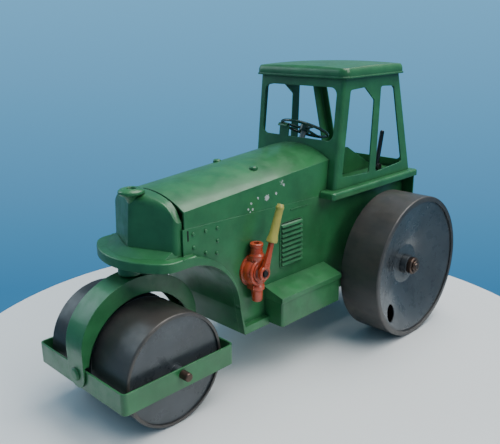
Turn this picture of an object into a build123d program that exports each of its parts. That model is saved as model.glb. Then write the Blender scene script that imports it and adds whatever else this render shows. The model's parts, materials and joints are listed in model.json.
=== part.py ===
from build123d import *

import math
import os

# Three-roll diesel road roller, a pressed-steel push-along toy.
# Frame: +Z up with the ground at Z = 0, the nose towards -Y, the toy's left side towards +X,
# and X = 0 in the symmetry plane.  The origin is under the middle of the whole model.
# All sizes are in millimetres.

# ---- driving dimensions ----
rear_roll_radius = 50.0
rear_roll_width = 30.0
rear_roll_inner_x = 43.5
front_roll_radius = 33.0
front_roll_width = 34.0
front_roll_gap = 7.5
wheelbase = 188.0
sheet = 1.0

hull_half_width = 30.0
rim_reach = 4.0
nose_top_z = 93.5
nose_reach = 12.5
skirt_height = 5.5
hull_bottom_z = 32.5
seam_front_z = 108.6
seam_rear_drop = 3.4

hoop_half_width = 42.7
hoop_half_length = 38.5
hoop_height = 12.3
hoop_drop = 8.6
fork_rise = 47.0
fork_half_width = 8.0
fork_throat_radius = 36.5

hood_setback = 16.0
hood_crown_radius = 60.0
hood_front_top_z = 126.3
hood_rear_rise = 27.7
hood_shoulder_radius = 16.0

cab_half_width = 36.8
cab_floor_z = 108.0
cab_height = 72.0
cab_front_foot = -49.6
cab_front_head = -42.0
cab_rear_foot = 42.4
cab_rear_head = 22.0
cab_corner_radius = 2.5
roof_height = 8.0
roof_overhang = 2.8
platform_half_width = 42.0
platform_front = -57.0
platform_rear = 46.0
platform_lip = 4.5

toolbox_reach = 15.0
toolbox_front = -110.0
toolbox_rear = -(rear_roll_radius + 2.0)
toolbox_bottom_z = 33.5
toolbox_height = 16.0

rear_axle_radius = 4.0
front_axle_radius = 2.5
kingpin_radius = 2.5
column_radius = 2.0
column_lean = 27.0
steering_wheel_radius = 17.5
steering_wheel_rim = 1.0
steering_wheel_y = -37.0
steering_wheel_rise = 36.0
steering_arm_length = 9.0

# ---- fits and small gaps ----
running_clearance = 0.05
gap = 0.3
link_eye_clearance = 0.7
hood_end_gap = 0.4
hull_lead = 1.4

# ---- rivets ----
rivet_head_radius = 3.75
rivet_head_height = 1.6
rivet_shank_radius = 2.0
rivet_tail_radius = 3.2
rivet_tail_height = 1.0

# ---- places along the model ----
front_reach = hoop_half_length + gap + sheet + rivet_head_height
front_axle_y = -(wheelbase + rear_roll_radius - front_reach) / 2
rear_axle_y = front_axle_y + wheelbase
front_axle_z = front_roll_radius
rear_axle_z = rear_roll_radius
hull_inner_x = hull_half_width - sheet
rim_x = hull_half_width + rim_reach
nose_front_y = front_axle_y - nose_reach
nose_plate_z = nose_top_z - sheet
skirt_bottom_z = nose_top_z - skirt_height
hood_front_y = front_axle_y + hood_setback
hood_rear_y = rear_axle_y + cab_front_foot - hood_end_gap
hood_length = hood_rear_y - hood_front_y
hull_front_y = hood_front_y - hull_lead
hull_rear_y = rear_axle_y + platform_rear - 2 * sheet
seam_rear_z = cab_floor_z - seam_rear_drop
hood_rear_top_z = cab_floor_z + hood_rear_rise
cab_top_z = cab_floor_z + cab_height
steering_wheel_z = cab_floor_z + steering_wheel_rise

os.makedirs("parts", exist_ok=True)


def save(piece, name):
    """Label a finished piece and write it as its own STEP file."""
    piece.part.label = name
    export_step(piece.part, f"parts/{name}.step")


def cross_plane(y, z):
    """The drawing plane through an axle centre: local x runs along +X and local y up along +Z."""
    return Plane(origin=(0, y, z), x_dir=(1, 0, 0), z_dir=(0, -1, 0))


def turned(profile, y, z):
    """Turn a closed (x, radius) outline about the sideways axis at (y, z)."""
    with BuildPart() as piece:
        with BuildSketch(cross_plane(y, z)):
            with BuildLine():
                Polyline(*profile, close=True)
            make_face()
        revolve(axis=Axis((0, y, z), (1, 0, 0)))
    return piece


def ring_profile(x_start, x_end, inner, outer):
    """The (x, radius) outline of a plain ring."""
    return [(x_start, inner), (x_end, inner), (x_end, outer), (x_start, outer)]


def outermost_edges(piece):
    """The circular edges of the largest radius."""
    return piece.edges().filter_by(GeomType.CIRCLE).group_by(SortBy.RADIUS)[-1]


def from_rear(y):
    """A place given along Y from the rear axle."""
    return rear_axle_y + y


def from_front(y):
    """A place given along Y from the front axle and kingpin."""
    return front_axle_y + y


sides = {"left": 1, "right": -1}


# ---- hull: two side plates, the nose plate with its skirt and the rims over the front rolls ----
arch_outer_y = from_front(11.0)
arch_outer_radius = 42.0
arch_outer_z = nose_top_z - arch_outer_radius
arch_inner_y = from_front(15.0)
arch_inner_radius = 38.0
arch_inner_z = skirt_bottom_z - arch_inner_radius
toe_outer_y = from_front(58.6)
toe_inner_y = from_front(56.4)
bottom_rim_height = 4.5
side_step_y = from_rear(cab_front_foot)
hood_tail_gap = 0.7
hood_tail_foot_y = side_step_y - hood_tail_gap
rear_corner_radius = 12.0
nose_corner_radius = 12.0
nose_front_radius = 47.0
nose_shoulder_y = nose_front_y + nose_front_radius - math.sqrt(nose_front_radius**2 - rim_x**2)
nose_plate_lap = 6.0
nose_plate_rear_y = hull_front_y + nose_plate_lap
bottom_rim_front_y = toe_inner_y + sheet
bottom_rim_rear_y = from_rear(toolbox_front)
bottom_rim_length = bottom_rim_rear_y - bottom_rim_front_y
bottom_rim_middle_y = (bottom_rim_front_y + bottom_rim_rear_y) / 2
bush_radius = rear_axle_radius + 2.5


def leg_run(centre_y, centre_z, radius, toe_y):
    """Add an arch quarter from its crown down to the knee, then the leg's line to the toe."""
    crown = (centre_y, centre_z + radius)
    knee = (centre_y + radius, centre_z)
    shoulder = (centre_y + radius * math.sin(math.pi / 4), centre_z + radius * math.cos(math.pi / 4))
    ThreePointArc(crown, shoulder, knee)
    Line(knee, (toe_y, hull_bottom_z))


with BuildSketch() as hull_side:
    with BuildLine():
        leg_run(arch_inner_y, arch_inner_z, arch_inner_radius, toe_inner_y)
        Polyline(
            (toe_inner_y, hull_bottom_z),
            (hull_rear_y, hull_bottom_z),
            (hull_rear_y, cab_floor_z - sheet),
            (side_step_y, cab_floor_z - sheet),
            (side_step_y, seam_rear_z),
            (hood_tail_foot_y, seam_rear_z),
            (hood_front_y, seam_front_z),
            (hull_front_y, seam_front_z),
            (hull_front_y, skirt_bottom_z),
            (arch_inner_y, skirt_bottom_z),
        )
    make_face()

# The rim over each front roll lies between the outer arch and the inner arch.
with BuildSketch() as rim_section:
    with BuildLine():
        leg_run(arch_outer_y, arch_outer_z, arch_outer_radius, toe_outer_y)
        Line((toe_outer_y, hull_bottom_z), (toe_inner_y, hull_bottom_z))
        leg_run(arch_inner_y, arch_inner_z, arch_inner_radius, toe_inner_y)
        Polyline(
            (arch_inner_y, skirt_bottom_z),
            (arch_outer_y, skirt_bottom_z),
            (arch_outer_y, nose_top_z),
        )
    make_face()

with BuildSketch() as nose_plan:
    with BuildLine():
        ThreePointArc((-rim_x, nose_shoulder_y), (0, nose_front_y), (rim_x, nose_shoulder_y))
        Polyline(
            (rim_x, nose_shoulder_y),
            (rim_x, nose_plate_rear_y),
            (-rim_x, nose_plate_rear_y),
            (-rim_x, nose_shoulder_y),
        )
    make_face()
    front_corners = vertices().filter_by(lambda v: abs(v.Y - nose_shoulder_y) < 0.01)
    fillet(front_corners, nose_corner_radius)

with BuildPart() as hull:
    with BuildSketch(Plane.XY.offset(skirt_bottom_z)):
        add(nose_plan.sketch_local)
    extrude(amount=skirt_height)
    nose_top_edges = faces().sort_by(Axis.Z)[-1].edges()
    fillet(nose_top_edges.sort_by(Axis.Y)[:-1], 0.9 * sheet)
    with BuildSketch(Plane.XY.offset(skirt_bottom_z)):
        offset(nose_plan.sketch_local, amount=-sheet)
        with Locations((0, nose_plate_rear_y)):
            Rectangle(2 * (rim_x - sheet), 2 * nose_corner_radius)
    extrude(amount=skirt_height - sheet, mode=Mode.SUBTRACT)
    with BuildSketch(Plane.YZ.offset(hull_inner_x)):
        add(hull_side.sketch_local)
    extrude(amount=sheet)
    lower_rear_corner = edges().filter_by(Axis.X).group_by(Axis.Z)[0].sort_by(Axis.Y)[-1]
    fillet(lower_rear_corner, rear_corner_radius)
    with BuildSketch(Plane.YZ.offset(hull_half_width)):
        add(rim_section.sketch_local)
    extrude(amount=rim_reach)
    with BuildSketch(Plane.YZ.offset(rim_x - sheet)):
        with Locations((bottom_rim_middle_y, hull_bottom_z + bottom_rim_height / 2)):
            Rectangle(bottom_rim_length, bottom_rim_height)
    extrude(amount=sheet)
    with BuildSketch(Plane.YZ.offset(hull_half_width)):
        with Locations((bottom_rim_middle_y, hull_bottom_z + bottom_rim_height)):
            Rectangle(bottom_rim_length, sheet)
    extrude(amount=rim_reach)
    mirror(about=Plane.YZ)
    with Locations((0, front_axle_y, nose_top_z)):
        Cylinder(kingpin_radius + running_clearance, 3 * sheet, mode=Mode.SUBTRACT)
    with BuildSketch(Plane.YZ.offset(-rim_x)):
        with Locations((rear_axle_y, rear_axle_z)):
            Circle(bush_radius)
    extrude(amount=2 * rim_x, mode=Mode.SUBTRACT)
save(hull, "hull")


# ---- curved wall behind the front rolls, fixed between the side plates ----
wall_front_y = arch_inner_y + 3.0
wall_slot_length = 3.0
wall_slot_width = 1.2

with BuildPart() as front_wall:
    with BuildSketch(Plane.YZ.offset(-hull_inner_x)):
        with BuildLine():
            leg_run(arch_inner_y, arch_inner_z, arch_inner_radius + sheet, toe_inner_y + sheet)
            Line((toe_inner_y + sheet, hull_bottom_z), (toe_inner_y, hull_bottom_z))
            leg_run(arch_inner_y, arch_inner_z, arch_inner_radius, toe_inner_y)
            Line((arch_inner_y, skirt_bottom_z), (arch_inner_y, skirt_bottom_z + sheet))
        make_face()
        with Locations((wall_front_y, skirt_bottom_z)):
            Rectangle(20, 20, align=(Align.MAX, Align.CENTER), mode=Mode.SUBTRACT)
    extrude(amount=2 * hull_inner_x)
    with BuildSketch(Plane.XY.offset(nose_top_z)):
        with Locations((19, from_front(24)), (8, from_front(21))):
            Rectangle(wall_slot_length, wall_slot_width)
    extrude(amount=-3 * skirt_height, mode=Mode.SUBTRACT)
save(front_wall, "front_wall")


# ---- hood: a domed sheet cover over the side plates ----
hood_half_width = hull_half_width
hood_section_drop = 40.0


def hood_section(y, top_z, inset):
    """The hood's cross-section at y: a wide crown arc, rounded shoulders and upright sides."""
    half_width = hood_half_width - inset
    radius = hood_crown_radius - inset
    crown_z = top_z - inset
    shoulder_z = crown_z - radius + math.sqrt(radius**2 - half_width**2)
    floor_z = top_z - hood_section_drop
    with BuildSketch(Plane(origin=(0, y, 0), x_dir=(1, 0, 0), z_dir=(0, -1, 0))) as section:
        with BuildLine():
            ThreePointArc((-half_width, shoulder_z), (0, crown_z), (half_width, shoulder_z))
            Polyline(
                (half_width, shoulder_z),
                (half_width, floor_z),
                (-half_width, floor_z),
                (-half_width, shoulder_z),
            )
        make_face()
        fillet(section.vertices().filter_by(lambda v: v.Z > floor_z + 1), hood_shoulder_radius - inset)
    return section.sketch


cab_lean_slope = (cab_front_head - cab_front_foot) / (cab_top_z - cab_floor_z)
hood_over_run = hood_rear_y + 12.0
rear_rise = (hood_rear_top_z - hood_front_top_z) / hood_length
over_run_top_z = hood_front_top_z + rear_rise * (hood_over_run - hood_front_y)

with BuildPart() as hood_form:
    loft([hood_section(hood_front_y, hood_front_top_z, 0), hood_section(hood_over_run, over_run_top_z, 0)])

with BuildPart() as hood_room:
    loft([
        hood_section(hood_front_y - sheet, hood_front_top_z - rear_rise * sheet, sheet),
        hood_section(hood_over_run + sheet, over_run_top_z + rear_rise * sheet, sheet),
    ])

# The trim keeps what lies above the seam and ahead of the leaning cab front.
with BuildPart() as hood_trim:
    with BuildSketch(Plane.YZ.offset(-cab_half_width)):
        with BuildLine():
            Polyline(
                (hood_front_y, seam_front_z),
                (hood_tail_foot_y, seam_rear_z),
                (hood_tail_foot_y + 60 * cab_lean_slope, seam_rear_z + 60),
                (hood_front_y, seam_front_z + 60),
                close=True,
            )
        make_face()
    extrude(amount=2 * cab_half_width)

with BuildPart() as hood:
    add(hood_form.part)
    add(hood_room.part, mode=Mode.SUBTRACT)
    add(hood_trim.part, mode=Mode.INTERSECT)
save(hood, "hood")

stud_radius = 2.6
stud_height = 1.9
stud_y = from_rear(-105.0)
stud_x = 16.5
stud_ridge_z = hood_front_top_z + rear_rise * (stud_y - hood_front_y)
stud_seat_z = stud_ridge_z - hood_crown_radius + math.sqrt(hood_crown_radius**2 - stud_x**2) - gap

with BuildPart() as hood_studs:
    with Locations((stud_x, stud_y, stud_seat_z), (-stud_x, stud_y, stud_seat_z)):
        Cylinder(stud_radius, 2 * stud_height, align=(Align.CENTER, Align.CENTER, Align.CENTER))
    fillet(edges().filter_by(GeomType.CIRCLE).group_by(Axis.Z)[-1], 0.6 * stud_height)
    add(hood_form.part, mode=Mode.SUBTRACT)
save(hood_studs, "hood_studs")


# ---- nose cowl: a prow-shaped radiator casing with a filler cap ----
cowl_half_width = 28.6
cowl_crown_radius = 45.0
cowl_shoulder_radius = 12.0
cowl_prow_y = from_front(-1.1)
cowl_corner_y = from_front(11.5)
cowl_back_y = hood_front_y - 0.8
cowl_rake = 0.1
plinth_height = 3.0
plinth_prow_y = from_front(-8.6)
plinth_corner_y = from_front(4.6)
plinth_bend_x = 14.0
plinth_bend_y = from_front(-5.2)
plinth_ridge_bend_y = from_front(4.4)
cowl_corner_radius = 4.0
cowl_brow_radius = 5.0
cowl_wall = 2.2
cap_radius = 7.5
cap_neck_radius = 3.0
cap_y = from_front(4.1)
cap_thickness = 2.6
cap_top_z = hood_front_top_z + cap_thickness
cap_neck_height = 1.4
cap_seat_radius = 6.0
cap_seat_depth = 10.0
cap_recess_radius = 3.2
washer_radius = 3.6
washer_height = 0.6


def prow_plan(z, inset):
    """The V-shaped plan of the cowl at height z, leaning back with height."""
    lean = cowl_rake * (z - nose_top_z)
    side_lean = 0.35 * lean
    with BuildSketch(Plane.XY.offset(z)) as plan:
        with BuildLine():
            Polyline(
                (0, cowl_prow_y + lean + 1.1 * inset),
                (cowl_half_width - inset, cowl_corner_y + side_lean + inset),
                (cowl_half_width - inset, cowl_back_y + 2 * inset),
                (inset - cowl_half_width, cowl_back_y + 2 * inset),
                (inset - cowl_half_width, cowl_corner_y + side_lean + inset),
                close=True,
            )
        make_face()
    return plan.sketch


def dome_section(inset):
    """The cowl's arched outline, a little inside the hood's front section."""
    reach = cowl_half_width - inset
    radius = cowl_crown_radius - inset
    top_z = hood_front_top_z - inset
    shoulder_z = top_z - radius + math.sqrt(radius**2 - reach**2)
    with BuildSketch(Plane(origin=(0, cowl_back_y + 2 * inset, 0), x_dir=(1, 0, 0), z_dir=(0, -1, 0))) as arch:
        with BuildLine():
            ThreePointArc((-reach, shoulder_z), (0, top_z), (reach, shoulder_z))
            Polyline(
                (reach, shoulder_z),
                (reach, nose_top_z - inset),
                (-reach, nose_top_z - inset),
                (-reach, shoulder_z),
            )
        make_face()
        fillet(vertices().filter_by(lambda v: v.Z > nose_top_z + 1), cowl_shoulder_radius - inset)
    return arch.sketch


def prow_form(inset):
    """The cowl as a filled, sharp-edged form: a raked prow cut off by the arch."""
    with BuildPart() as form:
        loft([prow_plan(nose_top_z - inset, inset), prow_plan(hood_front_top_z + 4, inset)])
        extrude(dome_section(inset), amount=30, mode=Mode.INTERSECT)
    return form.part


with BuildPart() as nose_cowl:
    add(prow_form(0))
    rising = edges().filter_by(lambda e: e.bounding_box().size.Z > 10)
    corners = rising.filter_by(lambda e: abs(abs(e.center().X) - cowl_half_width) < 0.05)
    fillet(corners.filter_by_position(Axis.Y, cowl_prow_y, cowl_back_y - 1), cowl_corner_radius)
    brow = edges().filter_by(lambda e: e.bounding_box().size.X > 15 and e.bounding_box().size.Z > 8)
    fillet(brow.filter_by_position(Axis.Y, cowl_prow_y, cowl_back_y - 0.5), cowl_brow_radius)
    split(bisect_by=Plane.YZ, keep=Keep.BOTTOM)
    mirror(about=Plane.YZ)
    with BuildSketch(Plane.XY.offset(nose_top_z)) as plinth_foot:
        with BuildLine():
            Polyline(
                (0, plinth_prow_y),
                (plinth_bend_x, plinth_bend_y),
                (cowl_half_width - 2, plinth_corner_y),
                (cowl_half_width, cowl_corner_y),
                (-cowl_half_width, cowl_corner_y),
                (2 - cowl_half_width, plinth_corner_y),
                (-plinth_bend_x, plinth_bend_y),
                close=True,
            )
        make_face()
    with BuildSketch(Plane.XY.offset(nose_top_z + plinth_height)) as plinth_ridge:
        with BuildLine():
            Polyline(
                (0, cowl_prow_y - 0.4),
                (plinth_bend_x, plinth_ridge_bend_y),
                (cowl_half_width - 2, cowl_corner_y - 1.2),
                (cowl_half_width - 0.5, cowl_corner_y + 1),
                (0.5 - cowl_half_width, cowl_corner_y + 1),
                (2 - cowl_half_width, cowl_corner_y - 1.2),
                (-plinth_bend_x, plinth_ridge_bend_y),
                close=True,
            )
        make_face()
    loft([plinth_foot.sketch, plinth_ridge.sketch], ruled=True)
    with Locations((0, cap_y, hood_front_top_z)):
        Cone(1.0, cap_seat_radius, cap_seat_depth, align=(Align.CENTER, Align.CENTER, Align.MAX))
    add(prow_form(cowl_wall), mode=Mode.SUBTRACT)
    with Locations((0, front_axle_y, nose_top_z)):
        Cylinder(
            washer_radius + gap,
            2 * (washer_height + 2 * gap),
            mode=Mode.SUBTRACT,
        )
    with Locations((0, cap_y, hood_front_top_z)):
        Cylinder(cap_neck_radius, 2 * (cap_neck_height + gap), mode=Mode.SUBTRACT)
save(nose_cowl, "nose_cowl")

with BuildPart() as radiator_cap:
    with Locations((0, cap_y, cap_top_z)):
        Cylinder(cap_radius, cap_thickness, align=(Align.CENTER, Align.CENTER, Align.MAX))
    fillet(edges().filter_by(GeomType.CIRCLE), 0.42 * cap_thickness)
    with Locations((0, cap_y, cap_top_z)):
        CounterBoreHole(1.0, cap_recess_radius, 1.2, depth=1.6)
    with Locations((0, cap_y, hood_front_top_z)):
        Cylinder(cap_neck_radius, cap_neck_height, align=(Align.CENTER, Align.CENTER, Align.MAX))
save(radiator_cap, "radiator_cap")


# ---- kingpin bush under the nose plate ----
fork_top_z = front_axle_z + fork_rise
collar_height = 7.9
arm_thickness = 1.2
arm_z = fork_top_z + collar_height
link_z = arm_z + arm_thickness + gap
link_thickness = 1.2
kingpin_top_z = nose_top_z + gap + washer_height + 0.3
bush_outer_radius = 6.0

with BuildPart() as kingpin_bush:
    with Locations((0, front_axle_y, nose_plate_z)):
        Cylinder(
            bush_outer_radius,
            nose_plate_z - arm_z - arm_thickness - gap,
            align=(Align.CENTER, Align.CENTER, Align.MAX),
        )
        Hole(kingpin_radius + running_clearance)
save(kingpin_bush, "kingpin_bush")


# ---- louvre panels and rivet heads on both side plates ----
louvre_count = 9
louvre_pitch = 3.15
louvre_height = 2.3
louvre_depth = 1.5
louvre_length = 19.5
louvre_y = from_rear(-85.3)
louvre_bottom_z = 66.2
louvre_plate = 0.5
louvre_margin = 1.2

for name, side in sides.items():
    with BuildPart() as louvre_panel:
        with BuildSketch(Plane.YZ.offset(side * hull_half_width)):
            with Locations((louvre_y, louvre_bottom_z - louvre_margin)):
                Rectangle(
                    louvre_length + 2 * louvre_margin,
                    louvre_count * louvre_pitch + louvre_margin,
                    align=(Align.CENTER, Align.MIN),
                )
            fillet(vertices(), louvre_margin)
        extrude(amount=side * louvre_plate)
        face_x = side * (hull_half_width + louvre_plate)
        for row in range(louvre_count):
            foot_z = louvre_bottom_z + row * louvre_pitch
            with BuildSketch(Plane.XZ.offset(-(louvre_y + louvre_length / 2))):
                with BuildLine():
                    Polyline(
                        (face_x, foot_z),
                        (face_x + side * louvre_depth, foot_z + 0.3),
                        (face_x + side * 0.6 * louvre_depth, foot_z + 0.7 * louvre_height),
                        (face_x, foot_z + louvre_height),
                        close=True,
                    )
                make_face()
            extrude(amount=louvre_length)
    save(louvre_panel, f"louvre_panel_{name}")

side_rivet_radius = 1.1
side_rivet_height = 0.8
side_rivets = [
    (from_rear(-166.2), 104.7),
    (from_rear(-157.0), 104.3),
    (from_rear(-148.3), 104.0),
    (from_rear(-166.2), 97.0),
    (from_rear(-148.4), 96.6),
    (from_rear(-157.4), 91.7),
    (from_rear(-149.2), 89.4),
]

for name, side in sides.items():
    with BuildPart() as side_rivet_heads:
        with BuildSketch(Plane.YZ.offset(side * hull_half_width)):
            with Locations(*side_rivets):
                Circle(side_rivet_radius)
        extrude(amount=side * side_rivet_height)
        outer_rings = edges().filter_by(GeomType.CIRCLE).group_by(Axis.X)[-1 if side > 0 else 0]
        fillet(outer_rings, 0.7 * side_rivet_height)
    save(side_rivet_heads, f"side_rivets_{name}")


# ---- toolboxes along the lower sides ----
toolbox_x = hull_half_width + toolbox_reach
toolbox_top_z = toolbox_bottom_z + toolbox_height
toolbox_length = toolbox_rear - toolbox_front
lid_overhang = 0.6
lid_skirt = 1.6
lid_fall = 4.6
lid_round = 3.2
lid_hull_z = toolbox_top_z + lid_skirt + lid_fall + 1.6

for name, side in sides.items():
    with BuildPart() as toolbox:
        with BuildSketch(Plane.XY.offset(toolbox_bottom_z)):
            with Locations((side * (hull_half_width + toolbox_reach / 2), from_rear(toolbox_front))):
                Rectangle(toolbox_reach, toolbox_length, align=(Align.CENTER, Align.MIN))
        extrude(amount=toolbox_height)
        outer_uprights = edges().filter_by(Axis.Z).group_by(Axis.X)[-1 if side > 0 else 0]
        fillet(outer_uprights, 1.5)
        offset(amount=-sheet, openings=faces().sort_by(Axis.Z)[-1])
    save(toolbox, f"toolbox_{name}")

    lid_edge_x = toolbox_x + lid_overhang
    with BuildPart() as toolbox_lid:
        with BuildSketch(Plane.XZ.offset(-(from_rear(toolbox_rear) + lid_overhang))):
            with BuildLine():
                Polyline(
                    (side * hull_half_width, toolbox_top_z),
                    (side * lid_edge_x, toolbox_top_z),
                    (side * lid_edge_x, toolbox_top_z + lid_skirt + 1.6),
                    (side * hull_half_width, lid_hull_z),
                    close=True,
                )
            make_face()
            lid_corner = vertices().filter_by(lambda v: abs(v.X) > lid_edge_x - 0.1 and v.Z > toolbox_top_z + 1)
            fillet(lid_corner, lid_round)
        extrude(amount=toolbox_length + 2 * lid_overhang)
        offset(amount=-sheet, openings=faces().sort_by(Axis.Z)[0])
    save(toolbox_lid, f"toolbox_lid_{name}")


# ---- cab: one folded shell with window openings, under a domed roof ----
window_corner = 2.0
# Each side window's corners run back from the rear axle and up from the cab floor.
side_windows = [
    [(-35.1, 64.2), (-19.1, 64.9), (-7.9, 55.7), (-10.9, 5.8), (-42.0, 7.6)],
    [(-0.6, 64.4), (15.1, 63.6), (30.1, 7.1), (-3.4, 5.2)],
]
screen_half_width = 31.5
screen_bottom_z = cab_floor_z + 31.5
screen_top_z = cab_floor_z + 66.0
screen_corner = 5.0
rear_window_half_width = 30.5
rear_window_bottom_z = cab_floor_z + 6.5
rear_window_top_z = cab_floor_z + 64.0
column_slot_half_width = 4.5
column_slot_bottom_z = cab_floor_z + 3.0
column_slot_top_z = cab_floor_z + 26.5
tab_left_x = -15.5
tab_right_x = -7.5
tab_top_z = cab_floor_z + 38.2

with BuildPart() as cab_shell:
    with BuildSketch(Plane.YZ.offset(-cab_half_width)):
        with BuildLine():
            Polyline(
                (from_rear(cab_front_foot), cab_floor_z),
                (from_rear(cab_rear_foot), cab_floor_z),
                (from_rear(cab_rear_head), cab_top_z),
                (from_rear(cab_front_head), cab_top_z),
                close=True,
            )
        make_face()
    extrude(amount=2 * cab_half_width)
    fillet(edges().filter_by(lambda e: e.bounding_box().size.Z > 50), cab_corner_radius)
    open_ends = faces().filter_by(Axis.Z)
    offset(amount=-sheet, openings=open_ends)
    for corners in side_windows:
        with BuildSketch(Plane.YZ.offset(-2 * cab_half_width)):
            with BuildLine():
                Polyline(*[(from_rear(y), cab_floor_z + rise) for y, rise in corners], close=True)
            make_face()
            fillet(vertices(), window_corner)
        extrude(amount=4 * cab_half_width, mode=Mode.SUBTRACT)
    with BuildSketch(Plane.XZ.offset(-from_rear(0))):
        with Locations((0, (screen_bottom_z + screen_top_z) / 2)):
            RectangleRounded(2 * screen_half_width, screen_top_z - screen_bottom_z, screen_corner)
        with Locations(((tab_left_x + tab_right_x) / 2, tab_top_z)):
            Rectangle(tab_right_x - tab_left_x, 30, align=(Align.CENTER, Align.MAX), mode=Mode.SUBTRACT)
        with Locations((0, (column_slot_bottom_z + column_slot_top_z) / 2)):
            RectangleRounded(
                2 * column_slot_half_width,
                column_slot_top_z - column_slot_bottom_z,
                window_corner,
            )
    extrude(amount=-cab_front_foot + 10, mode=Mode.SUBTRACT)
    with BuildSketch(Plane.XZ.offset(-from_rear(0))):
        with Locations((0, (rear_window_bottom_z + rear_window_top_z) / 2)):
            RectangleRounded(
                2 * rear_window_half_width,
                rear_window_top_z - rear_window_bottom_z,
                screen_corner,
            )
    extrude(amount=-(cab_rear_foot + 10), mode=Mode.SUBTRACT)
save(cab_shell, "cab_shell")

roof_half_width = cab_half_width + roof_overhang
roof_front = cab_front_head - roof_overhang
roof_rear = cab_rear_head + roof_overhang
roof_corner_radius = 6.0
roof_edge_radius = 5.4
roof_dome_radius = 700.0
roof_lip = 0.7
roof_lip_height = 1.0
roof_middle_y = from_rear((roof_front + roof_rear) / 2)


def roof_solid(inset, foot_z, height):
    """The roof as a filled form with a slight dome and large rounded edges."""
    with BuildPart() as form:
        with BuildSketch(Plane.XY.offset(foot_z)):
            with Locations((0, roof_middle_y)):
                RectangleRounded(
                    2 * (roof_half_width - inset),
                    roof_rear - roof_front - 2 * inset,
                    roof_corner_radius - inset,
                )
        extrude(amount=height)
        fillet(faces().sort_by(Axis.Z)[-1].edges(), roof_edge_radius - inset)
        with Locations((0, roof_middle_y, foot_z + height - roof_dome_radius)):
            Sphere(roof_dome_radius, rotation=(90, 0, 0), mode=Mode.INTERSECT)
    return form.part


with BuildPart() as cab_roof:
    add(roof_solid(0, cab_top_z, roof_height))
    with BuildSketch(Plane.XY.offset(cab_top_z)):
        with Locations((0, roof_middle_y)):
            RectangleRounded(
                2 * (roof_half_width + roof_lip),
                roof_rear - roof_front + 2 * roof_lip,
                roof_corner_radius + roof_lip,
            )
    extrude(amount=roof_lip_height)
    add(roof_solid(sheet, cab_top_z - sheet, roof_height), mode=Mode.SUBTRACT)
save(cab_roof, "cab_roof")


# ---- platform under the cab, rear apron and driver's seat ----
platform_bottom_z = cab_floor_z - platform_lip
notch_half_width = hull_half_width + gap
platform_edge_radius = 1.6
platform_corner_radius = 2.5
apron_bottom_z = cab_floor_z - 20.0
apron_top_z = cab_floor_z - platform_edge_radius - 0.1
apron_half_width = platform_half_width - sheet - 1.6

with BuildPart() as platform:
    with BuildSketch(Plane.XY.offset(platform_bottom_z)):
        with Locations((0, from_rear(platform_front))):
            Rectangle(
                2 * platform_half_width,
                platform_rear - platform_front,
                align=(Align.CENTER, Align.MIN),
            )
    extrude(amount=platform_lip)
    fillet(edges().filter_by(Axis.Z), platform_corner_radius)
    fillet(faces().sort_by(Axis.Z)[-1].edges(), platform_edge_radius)
    offset(amount=-sheet, openings=faces().sort_by(Axis.Z)[0])
    with BuildSketch(Plane.XY.offset(platform_bottom_z)):
        with Locations((0, from_rear(platform_front) - 1)):
            Rectangle(
                2 * notch_half_width,
                cab_front_foot - platform_front + 1,
                align=(Align.CENTER, Align.MIN),
            )
    extrude(amount=platform_lip, mode=Mode.SUBTRACT)
save(platform, "platform")

with BuildPart() as rear_apron:
    with BuildSketch(Plane.XZ.offset(-hull_rear_y)):
        with Locations((0, apron_top_z)):
            Rectangle(
                2 * apron_half_width,
                apron_top_z - apron_bottom_z,
                align=(Align.CENTER, Align.MAX),
            )
            Rectangle(
                2 * hull_half_width,
                apron_top_z - hull_bottom_z - rear_corner_radius,
                align=(Align.CENTER, Align.MAX),
            )
    extrude(amount=-sheet)
save(rear_apron, "rear_apron")

seat_half_width = 11.0
seat_front = -14.0
seat_back = -1.5
seat_tail = 29.5
seat_height = 19.5

with BuildPart() as driver_seat:
    with BuildSketch(Plane.YZ.offset(-seat_half_width)):
        with BuildLine():
            Polyline(
                (from_rear(seat_front), cab_floor_z),
                (from_rear(seat_tail), cab_floor_z),
                (from_rear(seat_tail), cab_floor_z + 1.5),
                (from_rear(seat_back), cab_floor_z + seat_height),
                (from_rear(seat_front), cab_floor_z + seat_height),
                close=True,
            )
        make_face()
    extrude(amount=2 * seat_half_width)
    fillet(edges().filter_by(Axis.X).group_by(Axis.Z)[-1], 1.5)
    offset(amount=-sheet, openings=faces().sort_by(Axis.Z)[0])
save(driver_seat, "driver_seat")


# ---- hand pump cast in one unit on the left side, its lever and grip ----
pump_y = from_rear(-121.5)
pump_z = 71.6
pump_plate = 1.6
pump_body_radius = 9.0
pump_body_depth = 5.0
pump_ridge_outer = 8.6
pump_ridge_inner = 6.4
pump_pipe_x = hull_half_width + 4.6
pump_pipe_radius = 3.8
pump_neck_top_z = 89.5
pump_foot_z = 52.6
pump_neck_bore = 1.8
pump_face_x = hull_half_width + pump_plate + pump_body_depth
pump_pin_radius = 2.0
lever_thickness = 2.8
lever_inner_x = pump_face_x + 2.6
lever_hub_radius = 4.4
lever_rod_radius = 1.3
lever_lean = 20.5
lever_length = 19.0
grip_length = 21.5
grip_foot_radius = 3.3
grip_head_radius = 2.7
grip_bore_depth = 6.0
lever_x = lever_inner_x + lever_thickness / 2

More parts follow.
